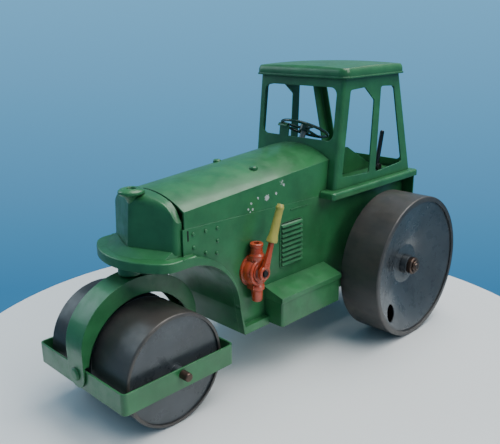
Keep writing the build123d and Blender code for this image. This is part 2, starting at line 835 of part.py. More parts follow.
with BuildPart() as pump_body:
    with BuildSketch(Plane.YZ.offset(hull_half_width)):
        with Locations((pump_y, pump_z)):
            Circle(pump_body_radius + 0.6)
            with Locations((0, pump_body_radius), (0, -pump_body_radius)):
                Circle(3.4)
    extrude(amount=pump_plate)
    with BuildSketch(Plane.YZ.offset(hull_half_width + pump_plate)):
        with Locations((pump_y, pump_z)):
            Circle(pump_body_radius)
    extrude(amount=pump_body_depth)
    fillet(edges().filter_by(GeomType.CIRCLE).group_by(Axis.X)[-1], 1.8)
    with BuildSketch(Plane.YZ.offset(pump_face_x - 0.5)):
        with Locations((pump_y, pump_z)):
            Circle(pump_ridge_outer - 0.8)
            Circle(pump_ridge_inner, mode=Mode.SUBTRACT)
    extrude(amount=1.9)
    with BuildSketch(Plane.XY.offset(pump_foot_z)):
        with Locations((pump_pipe_x, pump_y)):
            Circle(pump_pipe_radius)
    extrude(amount=pump_neck_top_z - pump_foot_z)
    with BuildSketch(Plane.XY.offset(pump_neck_top_z - 2.4)):
        with Locations((pump_pipe_x, pump_y)):
            Circle(pump_pipe_radius + 0.5)
    extrude(amount=2.4)
    with BuildSketch(Plane.YZ.offset(pump_face_x - sheet)):
        with Locations((pump_y, pump_z)):
            Circle(pump_pin_radius)
    extrude(amount=lever_inner_x + lever_thickness + 0.6 - pump_face_x + sheet)
    with Locations((pump_pipe_x, pump_y, pump_neck_top_z)):
        Hole(pump_neck_bore, 5.0)
    with BuildSketch(Plane.YZ):
        with Locations((pump_y, pump_z)):
            Rectangle(4 * pump_body_radius, 6 * pump_body_radius)
    extrude(amount=hull_half_width, mode=Mode.SUBTRACT)
save(pump_body, "pump_body")

lever_axis = Plane(
    origin=(lever_x, pump_y, pump_z),
    x_dir=(1, 0, 0),
    z_dir=(0, math.sin(math.radians(lever_lean)), math.cos(math.radians(lever_lean))),
)

with BuildPart() as pump_lever:
    with BuildSketch(Plane.YZ.offset(lever_inner_x)):
        with Locations((pump_y, pump_z)):
            Circle(lever_hub_radius)
    extrude(amount=lever_thickness)
    with BuildSketch(lever_axis):
        Circle(lever_rod_radius)
    extrude(amount=lever_length + grip_bore_depth)
    with BuildSketch(Plane.YZ.offset(lever_inner_x)):
        with Locations((pump_y, pump_z)):
            Circle(pump_pin_radius + running_clearance)
    extrude(amount=lever_thickness, mode=Mode.SUBTRACT)
save(pump_lever, "pump_lever")

with BuildPart() as pump_grip:
    with BuildSketch(lever_axis.offset(lever_length)):
        Circle(grip_foot_radius)
    with BuildSketch(lever_axis.offset(lever_length + grip_length)):
        Circle(grip_head_radius)
    loft()
    with BuildSketch(lever_axis.offset(lever_length + grip_length)):
        Circle(0.75 * grip_head_radius)
    extrude(amount=2.2)
    fillet(faces().sort_by(Axis.Z)[-1].edges(), 0.8)
    with BuildSketch(lever_axis.offset(lever_length)):
        Circle(lever_rod_radius)
    extrude(amount=grip_bore_depth, mode=Mode.SUBTRACT)
save(pump_grip, "pump_grip")


# ---- fork: the arched strap over the front rolls, with its kingpin and steering arm ----
fork_leg_outer_y = hoop_half_length + gap + sheet
fork_leg_inner_y = fork_leg_outer_y - sheet
fork_arch_rise = 14.0
fork_arch_z = front_axle_z + fork_arch_rise
flange_foot_z = front_axle_z - hoop_drop + hoop_height + 2.0
hoop_bottom_z = front_axle_z - hoop_drop

with BuildPart() as fork_arch:
    with BuildSketch(Plane.YZ.offset(-fork_half_width)) as web:
        with Locations((front_axle_y, fork_arch_z)):
            Ellipse(fork_leg_outer_y, fork_top_z - fork_arch_z)
            Rectangle(2 * fork_leg_outer_y, fork_arch_z - front_axle_z, align=(Align.CENTER, Align.MAX))
            Ellipse(fork_leg_inner_y, fork_top_z - sheet - fork_arch_z, mode=Mode.SUBTRACT)
            Rectangle(
                2 * fork_leg_inner_y,
                2 * fork_top_z,
                align=(Align.CENTER, Align.MAX),
                mode=Mode.SUBTRACT,
            )
    extrude(amount=2 * fork_half_width)
    for leg in (-1, 1):
        with BuildSketch(Plane.XZ.offset(-(front_axle_y + leg * (fork_leg_inner_y + sheet / 2)))):
            with Locations((0, front_axle_z)):
                Circle(fork_half_width)
        extrude(amount=sheet / 2, both=True)
    for flange_x in (-fork_half_width, fork_half_width - sheet):
        with BuildSketch(Plane.YZ.offset(flange_x)):
            with Locations((front_axle_y, fork_arch_z)):
                Ellipse(fork_leg_outer_y, fork_top_z - fork_arch_z)
                Rectangle(2 * fork_leg_outer_y, fork_arch_z - flange_foot_z, align=(Align.CENTER, Align.MAX))
            with Locations((front_axle_y, front_axle_z)):
                Circle(fork_throat_radius, mode=Mode.SUBTRACT)
            with Locations((front_axle_y, flange_foot_z)):
                Rectangle(
                    3 * fork_leg_outer_y,
                    2 * fork_top_z,
                    align=(Align.CENTER, Align.MAX),
                    mode=Mode.SUBTRACT,
                )
        extrude(amount=sheet)
    with BuildSketch(Plane.XZ.offset(-front_axle_y)):
        with Locations((0, front_axle_z)):
            Circle(rivet_shank_radius)
    extrude(amount=2 * fork_leg_outer_y, both=True, mode=Mode.SUBTRACT)
    with Locations((0, front_axle_y, fork_top_z)):
        Cylinder(kingpin_radius, 6 * sheet, mode=Mode.SUBTRACT)
save(fork_arch, "fork_arch")

kingpin_head_height = 2.0
kingpin_head_z = fork_top_z - sheet - gap
with BuildPart() as kingpin:
    with Locations((0, front_axle_y, kingpin_head_z)):
        Cylinder(
            kingpin_radius + 2.0,
            kingpin_head_height,
            align=(Align.CENTER, Align.CENTER, Align.MAX),
        )
        Cylinder(
            kingpin_radius,
            kingpin_top_z - kingpin_head_z,
            align=(Align.CENTER, Align.CENTER, Align.MIN),
        )
save(kingpin, "kingpin")

with BuildPart() as fork_collar:
    with Locations((0, front_axle_y, fork_top_z)):
        Cylinder(7.0, collar_height, align=(Align.CENTER, Align.CENTER, Align.MIN))
        Hole(kingpin_radius)
    fillet(edges().filter_by(GeomType.CIRCLE).group_by(SortBy.RADIUS)[-1], 1.2)
save(fork_collar, "fork_collar")

arm_pin_radius = 1.2
with BuildPart() as steering_arm:
    with BuildSketch(Plane.XY.offset(arm_z)):
        with Locations((0, front_axle_y)):
            Circle(kingpin_radius + 2.0)
            with Locations((steering_arm_length, 0)):
                Circle(arm_pin_radius + 1.6)
            Rectangle(steering_arm_length, 4.4, align=(Align.MIN, Align.CENTER))
            Circle(kingpin_radius, mode=Mode.SUBTRACT)
    extrude(amount=arm_thickness)
    with Locations((steering_arm_length, front_axle_y, arm_z)):
        Cylinder(
            arm_pin_radius,
            arm_thickness + 2 * gap + link_thickness + 0.4,
            align=(Align.CENTER, Align.CENTER, Align.MIN),
        )
save(steering_arm, "steering_arm")

with BuildPart() as kingpin_washer:
    with Locations((0, front_axle_y, nose_top_z + gap)):
        Cylinder(washer_radius, washer_height, align=(Align.CENTER, Align.CENTER, Align.MIN))
        Hole(kingpin_radius)
save(kingpin_washer, "kingpin_washer")

leg_face_y = front_axle_y + fork_leg_outer_y
tail_y = front_axle_y + hoop_half_length - sheet - gap
with BuildPart() as rear_fork_rivet:
    with BuildSketch(Plane.XZ.offset(-leg_face_y)):
        with Locations((0, front_axle_z)):
            Circle(rivet_head_radius)
    extrude(amount=-rivet_head_height)
    head_rings = edges().filter_by(GeomType.CIRCLE).sort_by(Axis.Y)
    fillet(head_rings[-1], 0.8 * rivet_head_height)
    with BuildSketch(Plane.XZ.offset(-leg_face_y)):
        with Locations((0, front_axle_z)):
            Circle(rivet_shank_radius)
    extrude(amount=leg_face_y - tail_y)
    with BuildSketch(Plane.XZ.offset(-tail_y)):
        with Locations((0, front_axle_z)):
            Circle(rivet_tail_radius)
    extrude(amount=rivet_tail_height)

# The two rivets are alike, so they share one file.
with BuildPart() as fork_rivets:
    add(rear_fork_rivet.part)
    mirror(about=Plane.XZ.offset(-front_axle_y))
save(fork_rivets, "fork_rivets")


# ---- roll frame: the hoop that rocks on the two fork rivets and carries the front axle ----
hoop_corner_radius = 3.0
front_axle_overhang = 6.0

with BuildPart() as roll_hoop:
    with BuildSketch(Plane.XY.offset(hoop_bottom_z)):
        with Locations((0, front_axle_y)):
            RectangleRounded(2 * hoop_half_width, 2 * hoop_half_length, hoop_corner_radius)
            RectangleRounded(
                2 * (hoop_half_width - sheet),
                2 * (hoop_half_length - sheet),
                hoop_corner_radius - sheet,
                mode=Mode.SUBTRACT,
            )
    extrude(amount=hoop_height)
    with BuildSketch(Plane.YZ):
        with Locations((front_axle_y, front_axle_z)):
            Circle(front_axle_radius)
    extrude(amount=2 * hoop_half_width, both=True, mode=Mode.SUBTRACT)
    with BuildSketch(Plane.XZ.offset(-front_axle_y)):
        with Locations((0, front_axle_z)):
            Circle(rivet_shank_radius + running_clearance)
    extrude(amount=2 * hoop_half_length, both=True, mode=Mode.SUBTRACT)
save(roll_hoop, "roll_hoop")

front_axle_end = hoop_half_width + front_axle_overhang
front_axle = turned(ring_profile(-front_axle_end, front_axle_end, 0, front_axle_radius), front_axle_y, front_axle_z)
with BuildPart() as front_axle_rod:
    add(front_axle.part)
    fillet(edges().filter_by(GeomType.CIRCLE), 0.9)
save(front_axle_rod, "front_axle")

spacer_half_width = front_roll_gap / 2 - 0.4
front_spacer = turned(
    ring_profile(-spacer_half_width, spacer_half_width, front_axle_radius, front_axle_radius + 2.2),
    front_axle_y,
    front_axle_z,
)
save(front_spacer, "front_axle_spacer")


# ---- front rolls: a tread drum with rolled lips, two discs and a hub tube each ----
front_tread_wall = 1.4
front_lip = 2.0
front_lip_depth = 1.2
front_disc = 0.9
front_hub_radius = 4.2
front_boss_radius = 3.2
front_roll_start = front_roll_gap / 2
front_roll_end = front_roll_start + front_roll_width
front_bore = front_axle_radius + running_clearance


def roll_tread(start, end, radius, wall, lip, lip_depth, y, z):
    """A tread drum whose two edges are rolled inward as lips."""
    profile = [
        (start, radius),
        (end, radius),
        (end, radius - lip),
        (end - lip_depth, radius - lip),
        (end - lip_depth, radius - wall),
        (start + lip_depth, radius - wall),
        (start + lip_depth, radius - lip),
        (start, radius - lip),
    ]
    drum = turned(profile, y, z)
    with BuildPart() as softened:
        add(drum.part)
        fillet(outermost_edges(softened), 0.8 * lip_depth)
    return softened


def mirrored_if_right(piece, side):
    """The piece itself on the left, or its mirror image on the right."""
    with BuildPart() as placed:
        if side > 0:
            add(piece.part)
        else:
            add(mirror(piece.part, about=Plane.YZ))
    return placed


front_tread = roll_tread(
    front_roll_start,
    front_roll_end,
    front_roll_radius,
    front_tread_wall,
    front_lip,
    front_lip_depth,
    front_axle_y,
    front_axle_z,
)
front_disc_rim = front_roll_radius - front_tread_wall
outer_disc_x = front_roll_end - front_lip_depth
inner_disc_x = front_roll_start + front_lip_depth
front_outer_disc = turned(
    ring_profile(outer_disc_x - front_disc, outer_disc_x, front_hub_radius, front_disc_rim),
    front_axle_y,
    front_axle_z,
)
front_inner_disc = turned(
    ring_profile(inner_disc_x, inner_disc_x + front_disc, front_hub_radius, front_disc_rim),
    front_axle_y,
    front_axle_z,
)
front_hub = turned(
    [
        (front_roll_start, front_bore),
        (front_roll_start, front_hub_radius),
        (outer_disc_x, front_hub_radius),
        (outer_disc_x, front_boss_radius),
        (hoop_half_width - sheet - 0.5, front_boss_radius),
        (hoop_half_width - sheet - 0.5, front_bore),
    ],
    front_axle_y,
    front_axle_z,
)

for name, side in sides.items():
    save(mirrored_if_right(front_tread, side), f"front_roll_tread_{name}")
    save(mirrored_if_right(front_outer_disc, side), f"front_roll_outer_disc_{name}")
    save(mirrored_if_right(front_inner_disc, side), f"front_roll_inner_disc_{name}")
    save(mirrored_if_right(front_hub, side), f"front_roll_hub_{name}")


# ---- rear rolls, fixed on one axle that turns in two bushes ----
rear_tread_wall = 1.6
rear_lip = 3.4
rear_lip_depth = 1.2
rear_disc = 1.0
rear_hub_tube_radius = 5.5
rear_boss_radius = 6.75
rear_boss_depth = 4.9
rear_dish_depth = 9.8
rear_dish_inner_radius = 14.0
rear_hole_radius = 6.0
rear_hole_reach = 38.5
rear_hole_angle = -135.0
rear_roll_end = rear_roll_inner_x + rear_roll_width
rear_disc_rim = rear_roll_radius - rear_tread_wall
rear_disc_x = rear_roll_end - rear_lip_depth
rear_flat_radius = rear_roll_radius - rear_lip - 1.5
rear_centre_x = rear_disc_x - rear_dish_depth

rear_tread = roll_tread(
    rear_roll_inner_x,
    rear_roll_end,
    rear_roll_radius,
    rear_tread_wall,
    rear_lip,
    rear_lip_depth,
    rear_axle_y,
    rear_axle_z,
)

rear_dish = turned(
    [
        (rear_disc_x, rear_disc_rim),
        (rear_disc_x, rear_flat_radius),
        (rear_centre_x, rear_dish_inner_radius),
        (rear_centre_x, rear_hub_tube_radius),
        (rear_centre_x - rear_disc, rear_hub_tube_radius),
        (rear_centre_x - rear_disc, rear_dish_inner_radius),
        (rear_disc_x - rear_disc, rear_flat_radius),
        (rear_disc_x - rear_disc, rear_disc_rim),
    ],
    rear_axle_y,
    rear_axle_z,
)
hole_y = rear_axle_y + rear_hole_reach * math.cos(math.radians(rear_hole_angle))
hole_z = rear_axle_z + rear_hole_reach * math.sin(math.radians(rear_hole_angle))
with BuildPart() as rear_outer_disc:
    add(rear_dish.part)
    with BuildSketch(Plane.YZ.offset(rear_roll_inner_x)):
        with Locations((hole_y, hole_z)):
            Circle(rear_hole_radius)
    extrude(amount=rear_roll_width, mode=Mode.SUBTRACT)

rear_inner_disc = turned(
    ring_profile(
        rear_roll_inner_x + rear_lip_depth,
        rear_roll_inner_x + rear_lip_depth + rear_disc,
        rear_hub_tube_radius,
        rear_disc_rim,
    ),
    rear_axle_y,
    rear_axle_z,
)
rear_hub = turned(
    [
        (rear_roll_inner_x, rear_axle_radius),
        (rear_roll_inner_x, rear_hub_tube_radius),
        (rear_centre_x, rear_hub_tube_radius),
        (rear_centre_x, rear_boss_radius),
        (rear_centre_x + rear_boss_depth, rear_boss_radius),
        (rear_centre_x + rear_boss_depth, rear_axle_radius),
    ],
    rear_axle_y,
    rear_axle_z,
)

bush_flange_radius = bush_radius + 1.6
bush_flange = 1.2
collar_start = hull_half_width + bush_flange + gap
axle_bush = turned(
    [
        (hull_inner_x - 2.0, rear_axle_radius + running_clearance),
        (hull_inner_x - 2.0, bush_radius),
        (hull_half_width, bush_radius),
        (hull_half_width, bush_flange_radius),
        (hull_half_width + bush_flange, bush_flange_radius),
        (hull_half_width + bush_flange, rear_axle_radius + running_clearance),
    ],
    rear_axle_y,
    rear_axle_z,
)
axle_collar = turned(
    ring_profile(collar_start, rear_roll_inner_x, rear_axle_radius, rear_hub_tube_radius),
    rear_axle_y,
    rear_axle_z,
)

for name, side in sides.items():
    save(mirrored_if_right(rear_tread, side), f"rear_roll_tread_{name}")
    save(mirrored_if_right(rear_outer_disc, side), f"rear_roll_outer_disc_{name}")
    save(mirrored_if_right(rear_inner_disc, side), f"rear_roll_inner_disc_{name}")
    save(mirrored_if_right(rear_hub, side), f"rear_roll_hub_{name}")

# The bushes are alike, and so are the collars, so each pair shares one file.
for name, ring in {"axle_bushes": axle_bush, "axle_collars": axle_collar}.items():
    with BuildPart() as pair:
        add(ring.part)
        mirror(about=Plane.YZ)
    save(pair, name)

rear_axle_end = rear_roll_end - 1.6
rear_axle_rivet = 0.9
rear_axle = turned(
    [
        (-rear_axle_end - rear_axle_rivet, 0),
        (-rear_axle_end - rear_axle_rivet, 2.2),
        (-rear_axle_end, 2.5),
        (-rear_axle_end, rear_axle_radius),
        (rear_axle_end, rear_axle_radius),
        (rear_axle_end, 2.5),
        (rear_axle_end + rear_axle_rivet, 2.2),
        (rear_axle_end + rear_axle_rivet, 0),
    ],
    rear_axle_y,
    rear_axle_z,
)
save(rear_axle, "rear_axle")


# ---- steering wheel, its leaning column, the crank below and the drag link ----
lean = math.radians(column_lean)
column_up = (0, math.sin(lean), math.cos(lean))
wheel_y = from_rear(steering_wheel_y)
wheel_centre = (0, wheel_y, steering_wheel_z)


def column_plane(z):
    """The plane square to the column where its axis passes height z."""
    return Plane(
        origin=(0, wheel_y - (steering_wheel_z - z) * math.tan(lean), z),
        x_dir=(1, 0, 0),
        z_dir=column_up,
    )


def along_column(low_z, high_z):
    """The length of the column's axis between two heights."""
    return (high_z - low_z) / math.cos(lean)


bearing_z = cab_floor_z - 8.0
bearing_depth = 10.0
bearing_thickness = 2.0
jacket_top_z = cab_floor_z + 29.0
jacket_radius = 3.1
jacket_bore = column_radius + running_clearance
hub_height = 4.0
crank_rise = 7.1
crank_z = arm_z + crank_rise
crank_thickness = 1.6
crank_length = steering_arm_length * math.cos(lean)
crank_pin_radius = 1.0
crank_pin_foot_z = link_z - 2.2
link_rear_y = wheel_y - (steering_wheel_z - link_z - link_thickness / 2) * math.tan(lean)

with BuildPart() as column_bearing:
    with BuildSketch(column_plane(bearing_z)):
        Rectangle(2 * hull_inner_x, bearing_depth)
        Circle(jacket_radius, mode=Mode.SUBTRACT)
    extrude(amount=bearing_thickness / 2, both=True)
save(column_bearing, "column_bearing")

with BuildPart() as column_jacket:
    with BuildSketch(column_plane(bearing_z).offset(-bearing_thickness / 2)):
        Circle(jacket_radius)
        Circle(jacket_bore, mode=Mode.SUBTRACT)
    extrude(amount=along_column(bearing_z, jacket_top_z) + bearing_thickness / 2)
save(column_jacket, "column_jacket")

with BuildPart() as steering_column:
    with BuildSketch(column_plane(crank_z).offset(crank_thickness / 2)):
        Circle(column_radius)
    extrude(amount=along_column(crank_z, steering_wheel_z) + (hub_height - crank_thickness) / 2)
save(steering_column, "steering_column")

with BuildPart() as column_crank:
    with BuildSketch(column_plane(crank_z)):
        Circle(column_radius + 1.4)
        with Locations((crank_length, 0)):
            Circle(crank_pin_radius + 1.4)
        Rectangle(crank_length, 3.6, align=(Align.MIN, Align.CENTER))
    extrude(amount=crank_thickness / 2, both=True)
    with BuildSketch(column_plane(crank_z)):
        with Locations((crank_length, 0)):
            Circle(crank_pin_radius)
    extrude(amount=-along_column(crank_pin_foot_z, crank_z))
save(column_crank, "column_crank")

hub_radius = 3.6
spoke_radius = 0.9
spoke_count = 3
rim_centre_radius = steering_wheel_radius - steering_wheel_rim

with BuildPart() as steering_wheel:
    with BuildSketch(Plane.XZ):
        with Locations((rim_centre_radius, 0)):
            Circle(steering_wheel_rim)
    revolve(axis=Axis.Z)
    Cylinder(hub_radius, hub_height)
    with PolarLocations(0, spoke_count, start_angle=90):
        Cylinder(
            spoke_radius,
            rim_centre_radius,
            rotation=(0, 90, 0),
            align=(Align.CENTER, Align.CENTER, Align.MIN),
        )
    Cylinder(column_radius, hub_height, mode=Mode.SUBTRACT)
wheel_plane = Plane(origin=wheel_centre, x_dir=(1, 0, 0), z_dir=column_up)
with BuildPart() as placed_wheel:
    add(wheel_plane.location * steering_wheel.part)
save(placed_wheel, "steering_wheel")

link_width = 3.4
with BuildPart() as drag_link:
    with BuildSketch(Plane.XY.offset(link_z)):
        with BuildLine():
            Line((steering_arm_length, front_axle_y), (crank_length, link_rear_y))
        trace(line_width=link_width)
        with Locations((steering_arm_length, front_axle_y), (crank_length, link_rear_y)):
            Circle(arm_pin_radius + 1.5)
        with Locations((steering_arm_length, front_axle_y)):
            Circle(arm_pin_radius + running_clearance, mode=Mode.SUBTRACT)
        with Locations((crank_length, link_rear_y)):
            Circle(crank_pin_radius + link_eye_clearance, mode=Mode.SUBTRACT)
    extrude(amount=link_thickness)
save(drag_link, "drag_link")


# ---- brake lever in the cab ----
brake_x = 22.0
brake_y = from_rear(20.0)
brake_pivot_z = cab_floor_z + 3.2
brake_lean = 12.5
brake_length = 27.0
brake_radius = 1.6
brake_pin_radius = 1.0
brake_cheek = 1.0
brake_cheek_x = brake_radius + gap

with BuildPart() as brake_bracket:
    with BuildSketch(Plane.XY.offset(cab_floor_z)):
        with Locations((brake_x, brake_y)):
            Rectangle(2 * (brake_cheek_x + brake_cheek), 6.0)
    extrude(amount=0.8)
    for cheek in (-1, 1):
        with BuildSketch(Plane.YZ.offset(brake_x + cheek * (brake_cheek_x + brake_cheek / 2))):
            with Locations((brake_y, brake_pivot_z)):
                Circle(2.4)
                Rectangle(4.8, brake_pivot_z - cab_floor_z, align=(Align.CENTER, Align.MAX))
        extrude(amount=brake_cheek / 2, both=True)
    with BuildSketch(Plane.YZ.offset(brake_x)):
        with Locations((brake_y, brake_pivot_z)):
            Circle(brake_pin_radius)
    extrude(amount=brake_cheek_x + brake_cheek, both=True)
save(brake_bracket, "brake_bracket")

brake_axis = Plane(
    origin=(brake_x, brake_y, brake_pivot_z),
    x_dir=(1, 0, 0),
    z_dir=(0, math.sin(math.radians(brake_lean)), math.cos(math.radians(brake_lean))),
)
with BuildPart() as brake_lever:
    with BuildSketch(brake_axis):
        Circle(brake_radius)
    extrude(amount=brake_length)
    fillet(faces().sort_by(Axis.Z)[-1].edges(), 0.9 * brake_radius)
    with BuildSketch(Plane.YZ.offset(brake_x)):
        with Locations((brake_y, brake_pivot_z)):
            Circle(2.1)
    extrude(amount=brake_radius, both=True)
    with BuildSketch(Plane.YZ.offset(brake_x)):
        with Locations((brake_y, brake_pivot_z)):
            Circle(brake_pin_radius + running_clearance)
    extrude(amount=3 * brake_radius, both=True, mode=Mode.SUBTRACT)
save(brake_lever, "brake_lever")
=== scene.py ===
import json
import math

import bpy
from mathutils import Matrix, Vector


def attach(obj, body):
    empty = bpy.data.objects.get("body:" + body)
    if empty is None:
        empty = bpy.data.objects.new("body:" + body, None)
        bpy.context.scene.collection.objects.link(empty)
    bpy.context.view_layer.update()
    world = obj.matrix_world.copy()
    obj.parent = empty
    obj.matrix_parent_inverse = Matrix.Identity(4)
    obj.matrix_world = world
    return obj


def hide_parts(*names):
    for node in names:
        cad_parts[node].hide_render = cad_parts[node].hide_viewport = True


MM = 0.001
REAR_AXLE_Y = 89.7
REAR_AXLE_Z = 50.0
HULL_X = 30.0
SIDES = {"left": 1, "right": -1}

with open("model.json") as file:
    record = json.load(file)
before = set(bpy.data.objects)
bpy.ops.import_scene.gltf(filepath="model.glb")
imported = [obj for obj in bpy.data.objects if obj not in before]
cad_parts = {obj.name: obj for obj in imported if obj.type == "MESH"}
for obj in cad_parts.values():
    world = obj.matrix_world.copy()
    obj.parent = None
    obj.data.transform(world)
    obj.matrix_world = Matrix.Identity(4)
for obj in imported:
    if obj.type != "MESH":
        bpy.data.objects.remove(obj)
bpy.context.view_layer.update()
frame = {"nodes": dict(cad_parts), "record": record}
nodes = frame["nodes"]


# ---- materials: enamel, worn metal and a near-black painted shade for small openings, all procedural ----
class Shader:
    """A material's node tree with short calls for the nodes that the finishes use."""

    def __init__(self, name):
        self.material = bpy.data.materials.new(name)
        self.material.use_nodes = True
        self.tree = self.material.node_tree
        self.bsdf = self.tree.nodes["Principled BSDF"]
        self.place = self.tree.nodes.new("ShaderNodeTexCoord").outputs["Object"]

    def link(self, source, target):
        self.tree.links.new(source, target)

    def feed(self, socket, value):
        if isinstance(value, bpy.types.NodeSocket):
            self.link(value, socket)
        else:
            socket.default_value = value

    def noise(self, scale, detail=4.0, roughness=0.6, stretch=None):
        node = self.tree.nodes.new("ShaderNodeTexNoise")
        node.inputs["Scale"].default_value = scale
        node.inputs["Detail"].default_value = detail
        node.inputs["Roughness"].default_value = roughness
        source = self.place
        if stretch is not None:
            mapping = self.tree.nodes.new("ShaderNodeMapping")
            mapping.inputs["Scale"].default_value = stretch
            self.link(source, mapping.inputs["Vector"])
            source = mapping.outputs["Vector"]
        self.link(source, node.inputs["Vector"])
        return node.outputs["Fac"]

    def math(self, operation, a, b=0.5, clamp=False):
        node = self.tree.nodes.new("ShaderNodeMath")
        node.operation = operation
        node.use_clamp = clamp
        self.feed(node.inputs[0], a)
        self.feed(node.inputs[1], b)
        return node.outputs[0]

    def step(self, value, low, high, out_low=0.0, out_high=1.0):
        node = self.tree.nodes.new("ShaderNodeMapRange")
        node.interpolation_type = "SMOOTHSTEP"
        self.feed(node.inputs["Value"], value)
        node.inputs["From Min"].default_value = low
        node.inputs["From Max"].default_value = high
        node.inputs["To Min"].default_value = out_low
        node.inputs["To Max"].default_value = out_high
        return node.outputs["Result"]

    def mix(self, fac, a, b):
        node = self.tree.nodes.new("ShaderNodeMix")
        node.data_type = "RGBA"
        self.feed(node.inputs["Factor"], fac)
        colours = [s for s in node.inputs if s.type == "RGBA"]
        self.feed(colours[0], a)
        self.feed(colours[1], b)
        return [s for s in node.outputs if s.type == "RGBA"][0]

    def edges(self, radius, gain):
        """(rounded normal, mask of the sharp edges)."""
        bevel = self.tree.nodes.new("ShaderNodeBevel")
        bevel.samples = 6
        bevel.inputs["Radius"].default_value = radius
        geometry = self.tree.nodes.new("ShaderNodeNewGeometry")
        dot = self.tree.nodes.new("ShaderNodeVectorMath")
        dot.operation = "DOT_PRODUCT"
        self.link(bevel.outputs["Normal"], dot.inputs[0])
        self.link(geometry.outputs["Normal"], dot.inputs[1])
        bend = self.math("SUBTRACT", 1.0, dot.outputs["Value"])
        return bevel.outputs["Normal"], self.math("MULTIPLY", bend, gain, clamp=True)

    def near(self, point, radius):
        """1 inside a ragged spot of this radius (mm) round a point (mm), 0 outside."""
        node = self.tree.nodes.new("ShaderNodeVectorMath")
        node.operation = "DISTANCE"
        self.link(self.place, node.inputs[0])
        node.inputs[1].default_value = Vector(point) * MM
        ragged = self.math("MULTIPLY", self.math("SUBTRACT", self.noise(900.0), 0.5), 2.6 * radius * MM)
        reach = self.math("ADD", node.outputs["Value"], ragged)
        return self.step(reach, 0.85 * radius * MM, radius * MM, 1.0, 0.0)


def rgb(colour):
    return (*colour, 1.0)


def paint(name, colour, rough=0.32, edge_colour=None, edge_gain=5.0, edge_radius=0.0006, chip_level=0.74,
          chips=(), chip_colour=None, metallic=0.0, coat=0.35, corner_shade_depth=0.5, grain=0.25, streak=None):
    """Enamel with mottled tone, painted shade in the corners, worn edges and chipped spots."""
    s = Shader(name)
    normal, edge = s.edges(edge_radius, edge_gain)
    tone = s.step(s.noise(55.0, 6.0), 0.3, 0.7)
    darker = tuple(0.78 * c for c in colour)
    lighter = tuple(min(1.0, 1.15 * c) for c in colour)
    base = s.mix(tone, rgb(darker), rgb(lighter))
    if streak is not None:
        lines = s.step(s.noise(streak[1], 5.0, 0.7, streak[2]), 0.42, 0.66)
        base = s.mix(lines, base, rgb(streak[0]))
    # Painted shade: ambient occlusion darkens the colour in corners and crevices, where shade falls.
    shade = s.tree.nodes.new("ShaderNodeAmbientOcclusion")
    shade.samples = 4
    shade.inputs["Distance"].default_value = 0.006
    corner_shade_mask = s.step(shade.outputs["AO"], 0.25, 0.85, corner_shade_depth, 0.0)
    base = s.mix(corner_shade_mask, base, rgb(tuple(0.25 * c + 0.004 for c in colour)))
    bare = edge_colour or tuple(0.45 * c + 0.22 for c in colour)
    broken = s.step(s.noise(420.0, 5.0), 0.42, 0.6)
    worn = s.math("MULTIPLY", edge, broken, clamp=True)
    specks = s.step(s.noise(240.0, 3.0, 0.5), chip_level, chip_level + 0.015)
    worn = s.math("MAXIMUM", worn, specks)
    base = s.mix(worn, base, rgb(bare))
    for point, radius in chips:
        spot = s.near(point, radius)
        base = s.mix(spot, base, rgb(chip_colour))
        worn = s.math("MAXIMUM", worn, spot)
    s.link(base, s.bsdf.inputs["Base Color"])
    rough_mark = s.step(s.noise(130.0, 6.0), 0.35, 0.75, rough - 0.07, rough + 0.13)
    s.link(s.math("ADD", rough_mark, s.math("MULTIPLY", worn, 0.18)), s.bsdf.inputs["Roughness"])
    s.bsdf.inputs["Metallic"].default_value = metallic
    s.bsdf.inputs["Coat Weight"].default_value = coat
    s.bsdf.inputs["Coat Roughness"].default_value = 0.12
    bump = s.tree.nodes.new("ShaderNodeBump")
    bump.inputs["Strength"].default_value = grain
    bump.inputs["Distance"].default_value = 0.00006
    height = s.math("SUBTRACT", s.noise(700.0, 3.0), s.math("MULTIPLY", worn, 1.2))
    s.link(height, bump.inputs["Height"])
    s.link(normal, bump.inputs["Normal"])
    s.link(bump.outputs["Normal"], s.bsdf.inputs["Normal"])
    return s.material


HOOD_CHIPS = (
    ((28.3, -4.3, 121.1), 2.0),
    ((29.3, -2.4, 118.9), 1.2),
    ((29.9, -17.6, 113.6), 1.9),
    ((29.9, -9.4, 114.7), 1.0),
    ((29.7, -25.4, 115.0), 0.8),
    ((30.0, -31.2, 112.8), 0.8),
    ((30.0, -33.6, 109.6), 0.7),
    ((30.0, -30.0, 109.0), 0.9),
    ((30.0, -32.1, 107.6), 0.6),
)
green = paint("green_enamel", (0.026, 0.150, 0.050), rough=0.38, edge_colour=(0.10, 0.26, 0.13),
              chips=HOOD_CHIPS,
              chip_colour=(0.50, 0.52, 0.48), chip_level=0.80, edge_gain=3.0, coat=0.22)
dark_green = paint("dark_green", (0.012, 0.040, 0.024), rough=0.25, edge_colour=(0.08, 0.12, 0.09), coat=0.5)
tread = paint("roll_tread", (0.056, 0.053, 0.052), rough=0.40, edge_colour=(0.13, 0.12, 0.12),
              metallic=0.3, coat=0.1,
              chip_level=0.80, streak=((0.088, 0.075, 0.066), 22.0, (0.5, 1.0, 1.0)))
disc = paint("roll_disc", (0.060, 0.067, 0.074), rough=0.32, edge_colour=(0.13, 0.14, 0.15),
             metallic=0.25, coat=0.3,
             chip_level=0.82, grain=0.12)
axle = paint("axle_steel", (0.105, 0.066, 0.050), rough=0.36, edge_colour=(0.36, 0.27, 0.22),
             metallic=0.75, coat=0.0)
steel = paint("plain_steel", (0.30, 0.29, 0.27), rough=0.36, edge_colour=(0.5, 0.49, 0.46), metallic=0.9,
              coat=0.0)
orange = paint("orange_enamel", (0.50, 0.058, 0.018), rough=0.30, edge_colour=(0.60, 0.22, 0.10),
               chip_level=0.76)
yellow = paint("yellow_enamel", (0.50, 0.42, 0.085), rough=0.36, edge_colour=(0.62, 0.56, 0.22),
               chip_level=0.80)
